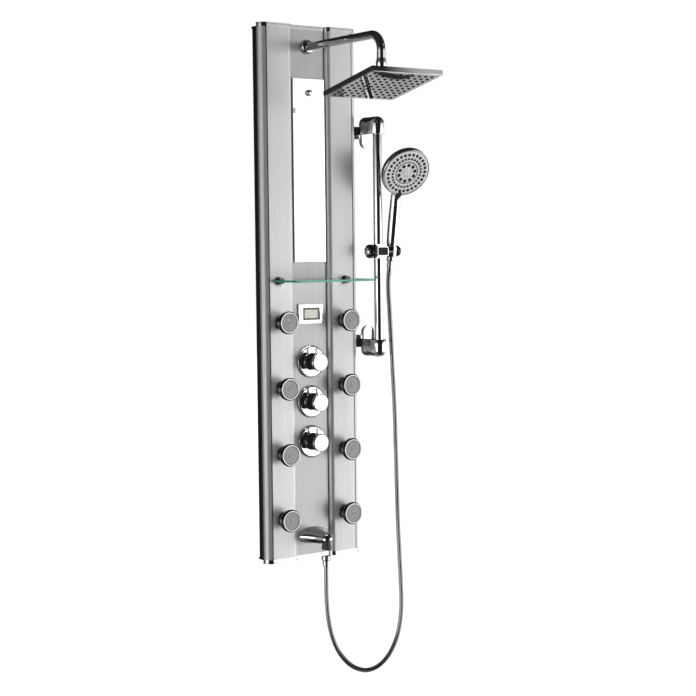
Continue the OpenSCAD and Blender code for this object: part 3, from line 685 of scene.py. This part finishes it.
def make_head():
    b = Build()
    # the swivel nut is near-black chrome: painted dark reflection
    b.lathe(soften([(13.1, -2.6), (15.3, -3, 0.8), (16, -1, 0.8), (16, 5, 1.2), (13.8, 9.3, 1),
                    (10.4, 9.3, 0.5), (10.4, 7.4)]), HEAD, segs=48)
    ribs(b, 20, 16.0, 0.6, -0.6, 4.6, HEAD)
    b.piece("swivel_nut_ring", "rain_swivel", [chrome_painted_dark_reflection], replaces=["swivel_nut"])
    b = Build()
    h = 100.0
    b.block((-h, -h, -31), (h, h, -19), 1.1, HEAD, steps=3)
    b.lathe(soften([(24, -19.3), (24, -18, 0.5), (22.5, -16.6, 1), (13, -15.2, 4), (9.6, -10, 3),
                    (12.6, -2.5, 3), (12.2, 2.8, 0.4), (9, 3.0)]), HEAD, segs=48)
    b.piece("rain_head_shell", "rain_head", [head_chrome], smooth=40,
            replaces=["rain_head_body"])
    b = Build()
    r = 97.6
    b.prism(soften([(-r, -r), (r, -r), (r, r), (-r, r)], 2.0, 3, True), -31.5, -30.2, HEAD,
            edge=0.45, steps=2)
    b.piece("rain_head_underside", "rain_head", [face_chrome], smooth=30,
            replaces=["rain_head_plate"])
    b = Build()
    count, pitch = 10, 18
    first = -pitch * (count - 1) / 2
    for i in range(count):
        for j in range(count):
            place = HEAD @ at(first + pitch * i, first + pitch * j, 0)
            b.lathe([(0, -33.6), (1.0, -33.6), (1.6, -33.2), (2.2, -32.6), (3.7, -32.3),
                     (4.2, -31.9), (4.2, -31.4), (0, -31.3)], place, segs=16)
    b.piece("rain_nozzle_tips", "rain_head", [rubber], smooth=45,
            replaces=["rain_nozzles"])


# ---------------------------------------------------------------- controls
KNOB_TOP_Z, KNOB_PITCH = -167, 100


def make_controls():
    for i, name in enumerate(("top", "middle", "bottom")):
        z = KNOB_TOP_Z - KNOB_PITCH * i
        b = Build()
        b.lathe(soften([(13.2, 30.1), (40.5, 30.1, 0.2), (40.5, 33.0, 1.2), (38.6, 35.6, 1.6),
                        (36.2, 36.45, 1.2), (13.2, 36.5)], steps=5), at(0, 0, z, AXIS_Y), segs=96)
        b.piece("%s_cover_plate" % name, PANEL, [chrome], smooth=50,
                replaces=["cover_" + name])
        b = Build()
        b.lathe(soften([(0, 36.9), (20.6, 36.9, 0.3), (22.3, 38.2, 1), (21.2, 43, 4), (21.2, 57, 6),
                        (22.5, 69.5, 4), (22.5, 73.2, 1.0), (20.4, 75.3, 1.2), (18.6, 75.0, 0.6),
                        (0, 75.2)], steps=6), at(0, 0, z, AXIS_Y), segs=96)
        b.lathe(soften([(0, 17), (4.4, 17), (4.4, 22.8, 0.6), (3.2, 23.6, 0.5), (3.2, 30.4, 0.6),
                        (3.6, 31.4, 0.6), (3.6, 33.4, 1.0), (0, 34.4)]), at(0, -56, z), segs=32)
        b.piece("%s_control_knob" % name, name + "_control", [chrome], smooth=50,
                replaces=["knob_" + name])


# ---------------------------------------------------------------- body jets
JET_X, JET_TOP_Z, JET_PITCH = 92.5, -66, 162


def make_jets():
    br, depth = 13, 54  # the ball's radius and its centre, from the wall
    for side, sx in (("left", -JET_X), ("right", JET_X)):
        for i in range(4):
            z = JET_TOP_Z - JET_PITCH * i
            place = at(sx, 0, z, AXIS_Y)
            c = Build()
            # the collar is near-black chrome: painted shade under the jet head and painted dark
            # reflection
            c.lathe(soften([(10.4, 41), (17.9, 42.05, 0.3), (18.2, 44, 1), (18.2, 47.6, 0.6),
                            (17.2, 48.4, 0.3), (17.2, 49.4, 0.3), (18.0, 50.2, 0.6),
                            (17.6, 53.0, 1.6), (14.6, 54.6, 0.8), (13.4, 54.2, 0.3), (13.4, 50)]),
                    place, segs=48)
            c.piece("%s_jet_%d_collar" % (side, i + 1), PANEL, [chrome_painted_dark_reflection])
            b = Build()
            ball = [math.radians(a) for a in range(42, 127, 6)]
            b.lathe([(br * math.sin(a), depth - br * math.cos(a)) for a in ball], place, mat=2,
                    segs=40)
            b.lathe(soften([(10.6, 59.0), (16.4, 59.6, 0.8), (17.0, 61.0, 0.8), (19.6, 62.4, 1),
                            (25.6, 66.8, 2), (27.2, 68.4, 0.8), (27.2, 69.6, 0.4),
                            (26.4, 70.2, 0.2), (26.4, 71.0, 0.2)], steps=6), place, segs=72)
            # the outer rim is near-black: partly its own dark colour, partly painted dark
            # reflection
            b.lathe(soften([(26.4, 71.0), (28, 71.8, 0.6), (28, 77.2, 2.2), (25.4, 79.7, 0.6),
                            (24.6, 79.2)], steps=5), place, mat=3, segs=72)
            b.lathe(soften([(25.2, 79.0), (25.0, 80, 0.4), (23.2, 80, 0.4), (22.7, 79.0, 0.3),
                            (22.3, 76.9)], steps=4), place, segs=72)
            b.lathe(soften([(22.5, 77.4), (21.8, 78.0, 0.4), (17.2, 78.3, 0.3), (16.8, 77.4, 0.2),
                            (15.8, 77.4, 0.2), (15.4, 78.4, 0.3), (9.6, 78.6, 0.3),
                            (9.1, 77.5, 0.2), (7.2, 77.5, 0.3)], steps=3), place, mat=1, segs=64)
            b.lathe(soften([(7.3, 77.4), (6.9, 79.3, 0.3), (6.1, 79.3, 0.3), (5.8, 78.2, 0.3)],
                           steps=3), place, segs=40)
            b.lathe(soften([(5.9, 78.2), (4.9, 78.2, 0.3), (4.3, 80.6, 0.5), (2.9, 80.6, 0.3),
                            (2.4, 79.0, 0.3), (0, 78.8)], steps=3), place, mat=1, segs=40)
            for n, r, size in ((24, 19.8, 0.8), (16, 12.6, 0.95)):
                for k in range(n):
                    a = TAU * (k + 0.5) / n
                    b.lathe([(size, 77.8), (size * 0.8, 79.4), (0, 79.5)],
                            place @ at(r * math.cos(a), r * math.sin(a), 0), mat=2, segs=8)
            b.piece("%s_jet_%d_head" % (side, i + 1), "%s_jet_%d" % (side, i + 1),
                    [jet_chrome, jet_grey, rubber, chrome_painted_dark_reflection], smooth=40,
                    replaces=["jet_%s_%d" % (side, i + 1)])


# ---------------------------------------------------------------- spout
def make_spout():
    rings = []
    n = 56
    for y, hw, hh, zc in ((30.1, 44, 21, -603), (32, 44, 21, -603), (33.5, 43.3, 20.5, -603),
                          (37, 40.5, 19.6, -603), (43, 36, 18.8, -603), (52, 30, 18, -603),
                          (62, 24.5, 17, -603.4), (72, 20.3, 16, -603.8), (82, 17.3, 15, -604),
                          (90, 15.6, 14.4, -604)):
        rings.append([(hw * math.cos(TAU * k / n), -y, zc + hh * math.sin(TAU * k / n))
                      for k in range(n)])
    for a in range(5, 90, 12):
        s, c = math.sin(math.radians(a)), math.cos(math.radians(a))
        rings.append([(15.0 * c * math.cos(TAU * k / n), -91.5 - 16 * s,
                       -604 + 14.2 * c * math.sin(TAU * k / n)) for k in range(n)])
    b = Build()
    b.loft(rings)
    b.piece("spout_casting", PANEL, [chrome], smooth=50, replaces=["spout_body"])
    b = Build()
    b.lathe(soften([(0, -622), (7.0, -622, 0.3), (7.0, -630.5, 0.3), (8.2, -631.2, 0.4),
                    (11.6, -631.2, 0.6), (12.2, -630, 0.6), (12.2, -621.5, 0.6), (11.2, -620, 1),
                    (11.2, -612), (0, -611)]), at(0, -92, 0), segs=48)
    b.piece("spout_aerator", PANEL, [plastic], smooth=45,
            replaces=["spout_outlet"])


# ---------------------------------------------------------------- slide bar
def bracket(name, z, flip, node):
    """Lug on the wall side, and a thumb-shaped cup that holds the bar."""
    place = at(BAR_X, 0, z) @ Matrix.Scale(flip, 4, (0, 0, 1))
    r = 17.5
    b = Build()
    rings = []
    outline = [(-44, r - 0.9), (-43.6, r - 0.3), (-43, r), (-30, r), (-r, r)]
    for a in map(math.radians, range(10, 90, 10)):
        outline.append((-r + r * math.sin(a), r * math.cos(a)))
    outline.append((0, 0.6))
    for h, rr in outline:
        ring = [(rr * math.sin(t), BAR_Y - rr * math.cos(t), h)
                for t in map(math.radians, range(-90, 91, 6))]
        ring += [(rr, y, h) for y in (-60, -46)]
        flare = [(rr + 1.6, -36, h), (rr + 3.6, -31.5, h), (rr + 3.6, -28, h)]
        ring += flare + [(-x, y, zz) for x, y, zz in reversed(flare)]
        ring += [(-rr, y, h) for y in (-46, -60)]
        rings.append(ring)
    b.loft(rings, place)
    lug = arc(0, -17.5, r, 0, 180, 20) + arc(0, -60.5, r, 180, 360, 20)
    b.prism(lug, 19, 31, place @ AXIS_Y, edge=1.8, steps=4)
    b.piece(name, PANEL, [chrome], smooth=50, replaces=[node])


def make_rail():
    bracket("bar_bracket_top", 443, 1, "bracket_top")
    bracket("bar_bracket_bottom", -162, -1, "bracket_bottom")
    b = Build()
    b.lathe(soften([(9.5, -156), (11, -156, 0.5), (11, 437, 0.5), (9.5, 437)]), at(BAR_X, BAR_Y, 0),
            segs=48)
    b.piece("slide_rail_tube", PANEL, [chrome], replaces=["slide_bar"])
    b = Build()
    for z in BRACKET_ARM_Z:
        b.block((138.2, -18.9, z - 15), (190, -5, z + 15), 1.2)
        for x0, x1 in ((140.3, 145.6), (146.8, 152.4), (153.6, 162.4)):
            b.block((x0, -27, z - 15), (x1, -15, z + 15), 0.8)
        b.block((140.3, -25.4, z - 13.6), (162.4, -15, z + 13.6), 0.3)
    b.piece("bracket_arm_pair", PANEL, [chrome], replaces=["bar_arms"])


# ---------------------------------------------------------------- slider, holder and hand shower
def make_slider():
    b = Build()
    shell = soften([(-19.5, -19, 6), (20.5, -19, 6), (20.5, 19, 6), (-19.5, 19, 6)], steps=8,
                   closed=True)
    place = at(BAR_X, BAR_Y, SLIDER_Z)
    # the shell is near-black chrome: painted dark reflection
    b.prism(shell, -17, 17, place, mat=2, edge=4.2, steps=6)
    b.lathe([(11.1, -17.4), (12.6, -17.4), (12.6, 17.4), (11.1, 17.4)], place, segs=48)
    b.lathe(soften([(14.4, 18), (16.2, 18), (16.2, 21.6, 0.6), (15.4, 22.4, 0.6), (0, 22.4)]),
            place @ AXIS_X, segs=64)
    # the inner inset on the face is near-black: painted dark reflection
    for d, y, mat in ((1.5, 19.3, 0), (0, 19.6, 1)):
        line = soften([(-14 - d, -10.4 - d), (17 + d, -10.4 - d), (17 + d, 10.4 + d),
                       (-14 - d, 10.4 + d)], 3.5 + d, 6, True)
        b.prism(line, 15, y, place @ AXIS_Y, mat=mat, edge=0.35)
    b.piece("slider_collar", "slider", [chrome, shade_black_fill, chrome_painted_dark_reflection], smooth=45,
            replaces=["slider_clamp"])
    b = Build()
    place = place @ Matrix.Rotation(math.radians(-90), 4, "Y")
    rings = []
    n = 96
    for r, h in soften([(13.6, 19.8), (14.2, 20, 0.4), (17.6, 22, 1.5), (17.6, 28.5, 2),
                        (14.8, 33, 2.5), (9, 34.8, 2), (3, 35.1)], steps=4):
        ring = []
        for k in range(n):
            t = TAU * k / n
            wave = 0.5 - 0.5 * math.cos(8 * t)
            flute = max(0, 1 - wave * 1.9) * max(0.0, min(1.0, (r - 9) / 7))
            cut = 1 - 0.16 * flute
            ring.append((r * cut * math.cos(t), r * cut * math.sin(t), h))
        rings.append(ring)
    b.loft(rings, place, mat=1)
    b.lathe(soften([(9.8, 33.0), (9.6, 34.6, 0.5), (6.5, 37.2, 3), (0, 38.2)], steps=5), place,
            segs=48)
    b.lathe([(4, 12.5), (4, 20.2), (0, 20.2)], place, segs=24)
    b.piece("clamp_hand_knob", "clamp_screw", [chrome, chrome_painted_dark_reflection], smooth=45,
            replaces=["clamp_knob"])


def make_holder():
    b = Build()
    # the socket's outer shell is near-black chrome: painted dark reflection
    b.lathe(soften([(15, 0), (15, -17, 1), (13.8, -17.2), (0, -17.2)]), at(*HOLD, AXIS_X), mat=1,
            segs=56)
    b.lathe([(4, -26), (4, -17)], at(*HOLD, AXIS_X), segs=24)
    b.lathe(soften([(10.3, -12.8), (14.2, -13, 0.8), (15, -11.6, 0.8), (15, 11.6, 0.8),
                    (14.2, 13, 0.8), (12.5, 12.8, 0.3)], steps=4) + [(10.3, -12.8)], LEAN, segs=64)
    b.piece("holder_socket", "holder", [chrome, chrome_painted_dark_reflection], smooth=45,
            replaces=["handset_holder"])
    b = Build()
    # the end cap is near-black chrome: painted dark reflection
    b.lathe(soften([(0, 14.2), (9.5, 14.2), (13.5, 15.6, 0.8), (13.5, 20.2, 2), (11.6, 23.6, 2),
                    (7, 25.6, 2), (0, 26)], steps=5), at(*HOLD, AXIS_X), segs=56)
    b.piece("pivot_end_cap", "holder", [chrome_painted_dark_reflection], smooth=45, replaces=["pivot_cap"])


def remeshed(obj, voxel, rounds):
    """Melts the overlapping shapes of a piece into one smooth skin; voxel in metres."""
    mod = obj.modifiers.new("skin", "REMESH")
    mod.mode = "VOXEL"
    mod.voxel_size = voxel
    mod.use_smooth_shade = True
    sm = obj.modifiers.new("even", "SMOOTH")
    sm.factor = 0.5
    sm.iterations = rounds
    deps = bpy.context.evaluated_depsgraph_get()
    mesh = bpy.data.meshes.new_from_object(obj.evaluated_get(deps))
    mats = list(obj.data.materials)
    obj.modifiers.clear()
    obj.data = mesh
    obj.data.materials.clear()
    for m in mats:
        obj.data.materials.append(m)
    mesh.shade_smooth()


def make_handset():
    b = Build()
    path = [(0, 0, z) for z in (-25, -20, -5, 10, 26, 45, 65, 85, 105, 120, 132)]
    radii = [9.4, 9.8, 10.9, 12.1, 12.9, 13.4, 13.7, 13.6, 13.1, 12.6, 12.3]
    path += [(0, -1.6, 143), (0, -5.2, 154), (0, -10.5, 164), (0, -16, 171), (0, -20, 176)]
    radii += [12.4, 13, 14, 14.5, 14]
    b.loft(sweep(path, radii, 40), HAND)
    b.lathe(soften([(0, -34.5), (12, -34, 4), (26, -31.5, 6), (40, -26.5, 6), (52, -19.5, 6),
                    (60, -12.5, 4), (62.4, -8, 2), (62.4, -3, 1), (58, -2), (0, -2)], steps=4),
            FACE, segs=96)
    obj = b.piece("handset_shell", "handset", [chrome], replaces=["handset_body"])
    remeshed(obj, 1.1 * MM, 8)
    b = Build()
    # the head's rear rim is gloss black: a painted dark reflection of the chrome band
    b.lathe(soften([(60.6, -14), (62.9, -13.4, 0.8), (63.6, -11.4, 1.2), (63.6, -4.2, 0.5),
                    (62.6, -3.8, 0.2)], steps=4), FACE, mat=1, segs=128)
    b.lathe(soften([(62.6, -3.8), (62.6, -3.2, 0.2), (63.4, -2.8, 0.4), (63.8, -0.9, 1.0),
                    (62.6, 0.7, 0.9), (60.4, 0.9, 0.4), (59.8, 0.2, 0.3), (59.8, -4)], steps=4),
            FACE, segs=128)
    b.piece("handset_head_band", "handset", [chrome, black_lever_and_painted_rim])
    b = Build()
    for z, r in ((27.5, 13.0), (112, 13.1)):
        b.lathe(soften([(r - 0.6, z - 1), (r + 0.25, z - 0.7, 0.2), (r + 0.25, z + 0.7, 0.2),
                        (r - 0.6, z + 1)]), HAND, segs=56)
    b.piece("handset_trim_rings", "handset", [jet_chrome])
    b = Build()
    b.lathe(soften([(59.6, -3), (59.6, 0.6, 0.5), (57.2, 1.5, 0.8), (31.0, 2.2, 0.4),
                    (30.2, 0.9, 0.3), (28.2, 0.9, 0.3), (27.4, 2.5, 0.5), (14.6, 3.0, 0.5),
                    (14, 2.0, 0.2), (13.0, 2.0, 0.2), (12.4, 3.1, 0.3), (0, 3.3)], steps=3), FACE,
            segs=96)
    for n, r, size, low in ((28, 50, 3.2, 0.1), (28, 38.4, 2.5, 0.25), (10, 21.6, 4.0, 0.8)):
        for k in range(n):
            a = TAU * (k + 0.5) / n
            b.lathe([(size + 0.5, 1.5), (size + 0.4, 2.5), (size, 2.9), (size * 0.8, 3.2),
                     (size * 0.35, 3.35), (0, 3.3)],
                    FACE @ at(r * math.cos(a), r * math.sin(a), low), mat=1, segs=16)
    petal = ((3.2, -0.9), (11.6, -1.7), (11.6, 1.7), (3.2, 0.9))
    for k in range(12):
        b.loft([[(x, y * w, z) for x, y in petal] for z, w in ((2.6, 1), (3.9, 0.45))],
               FACE @ Matrix.Rotation(TAU * k / 12, 4, "Z"))
    b.lathe([(28.3, 0.5), (28.3, 1.1), (30.1, 1.1), (30.1, 0.5)], FACE, mat=1, segs=96)
    b.piece("spray_disc", "spray_selector", [spray_grey, rubber], smooth=40,
            replaces=["handset_face"])
    b = Build()
    line = soften([(50, -1.6, 1), (61, -6.4, 3), (72.6, -2, 2), (72.6, 2, 2), (61, 6.4, 3),
                   (50, 1.6, 1)], steps=5, closed=True)
    b.prism(line, 1.7, 5.6, FACE @ Matrix.Rotation(math.radians(-95), 4, "Z"), edge=0.9, steps=3)
    b.piece("spray_pattern_lever", "spray_selector", [black_lever_and_painted_rim],
            replaces=["spray_lever"])


for make in (make_columns, make_side_channels, make_caps, make_side_plugs, make_mirror, make_shelf,
             make_display, make_arm, make_head, make_controls, make_jets, make_spout, make_rail,
             make_slider, make_holder, make_handset):
    make()

dress(["back_frame"], frame_metal)
dress(["centre_plate"], brushed)
dress(["mounting_rails"], steel)
dress(["display_module"], board)
dress(["swivel_ball"], chrome)
dress(["valve_bodies", "water_pipes", "water_inlets"], brass)
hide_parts("jet_collars")


# ---------------------------------------------------------------- floor, light and surroundings
def ramp(nt, value, stops):
    r = nt.nodes.new("ShaderNodeValToRGB")
    r.color_ramp.interpolation = "LINEAR"
    els = r.color_ramp.elements
    while len(els) > 1:
        els.remove(els[-1])
    els[0].position, els[0].color = stops[0][0], (stops[0][1],) * 3 + (1,)
    for pos, v in stops[1:]:
        e = els.new(pos)
        e.color = (v, v, v, 1)
    nt.links.new(value, r.inputs["Fac"])
    return r.outputs["Color"]


def math_node(nt, op, a, b=None):
    n = nt.nodes.new("ShaderNodeMath")
    n.operation = op
    for i, v in enumerate((a, b)):
        if v is None:
            continue
        if isinstance(v, (int, float)):
            n.inputs[i].default_value = v
        else:
            nt.links.new(v, n.inputs[i])
    return n.outputs[0]


def patch(nt, turn, up, around, height, strength):
    """One soft light or flag: its brightness by compass angle times that by elevation (degrees)."""
    az = ramp(nt, turn, [((a + 180) / 360, v) for a, v in around])
    el = ramp(nt, up, [(0.5 + 0.5 * math.sin(math.radians(a)), v) for a, v in height])
    return math_node(nt, "MULTIPLY", math_node(nt, "MULTIPLY", az, el), strength)


def make_world():
    """A dark studio with a wide soft light on either side, fitted to the picture's reflections. The
    camera sees plain white behind the part, as in the picture."""
    world = bpy.data.worlds.new("studio")
    scene.world = world
    world.use_nodes = True
    nt = world.node_tree
    nt.nodes.clear()
    out = nt.nodes.new("ShaderNodeOutputWorld")
    tc = nt.nodes.new("ShaderNodeTexCoord")
    sep = nt.nodes.new("ShaderNodeSeparateXYZ")
    nt.links.new(tc.outputs["Generated"], sep.inputs[0])
    turn = math_node(nt, "ARCTAN2", sep.outputs["X"], math_node(nt, "MULTIPLY", sep.outputs["Y"],
                                                                -1.0))
    turn = math_node(nt, "ADD", math_node(nt, "DIVIDE", turn, TAU), 0.5)
    up = math_node(nt, "ADD", math_node(nt, "MULTIPLY", sep.outputs["Z"], 0.5), 0.5)
    strips = patch(nt, turn, up, [(-180, 0), (-140, .02), (-112, .15), (-100, .9), (-70, 1),
                                  (-60, .1), (-52, 0), (18, 0), (27, .9), (34, 1), (84, 1),
                                  (100, .45), (114, .1), (130, 0)],
                   [(-90, .02), (-45, .05), (-28, .2), (-20, .6), (-15, 1), (1, 1), (6, .5),
                    (10, .12), (15, .005), (90, .005)], 2.3)
    upper = patch(nt, turn, up, [(-180, 0), (41.3, 0), (41.5, 1), (56, 1), (62, 0)],
                  [(-90, 0), (19, 0), (21, 1), (30, 1), (33, 0)], 0.6)
    back = patch(nt, turn, up,
                 [(-180, .1), (-170, 0), (90, 0), (112, 1), (160, 1), (180, .1)],
                 [(-90, 1), (-12, 1), (-4, .5), (2, .1), (10, 0)], 0.5)
    light = math_node(nt, "ADD", math_node(nt, "ADD", math_node(nt, "ADD", strips, back), upper),
                      0.015)
    soft = nt.nodes.new("ShaderNodeBackground")
    soft.inputs["Strength"].default_value = 1.0
    nt.links.new(light, soft.inputs["Color"])
    plain = nt.nodes.new("ShaderNodeBackground")
    plain.inputs["Color"].default_value = (1, 1, 1, 1)
    path = nt.nodes.new("ShaderNodeLightPath")
    both = nt.nodes.new("ShaderNodeMixShader")
    nt.links.new(path.outputs["Is Camera Ray"], both.inputs[0])
    nt.links.new(soft.outputs[0], both.inputs[1])
    nt.links.new(plain.outputs[0], both.inputs[2])
    nt.links.new(both.outputs[0], out.inputs["Surface"])


def make_floor():
    m, nt, bsdf = new_material("floor_paint")
    bsdf.inputs["Roughness"].default_value = 0.9
    bsdf.inputs["Base Color"].default_value = (0.93, 0.93, 0.93, 1)
    mesh = bpy.data.meshes.new("floor")
    half, z = 14.0, -1.3
    corners = [(-half, -half, z), (half, -half, z), (half, half, z), (-half, half, z)]
    mesh.from_pydata(corners, [], [(0, 1, 2, 3)])
    mesh.materials.append(m)
    floor = bpy.data.objects.new("floor", mesh)
    floor.visible_glossy = False
    scene.collection.objects.link(floor)


def make_lights():
    for name, energy, spread, turn in (("overhead", 3.6, 70, (12, 10, 0)),
                                       ("front_fill", 1.6, 60, (64, 0, 12))):
        sun = bpy.data.lights.new(name, "SUN")
        sun.energy = energy
        sun.angle = math.radians(spread)
        obj = bpy.data.objects.new(name, sun)
        obj.rotation_euler = [math.radians(a) for a in turn]
        obj.visible_glossy = False
        scene.collection.objects.link(obj)


make_world()
make_floor()
make_lights()
scene.view_settings.view_transform = "Standard"
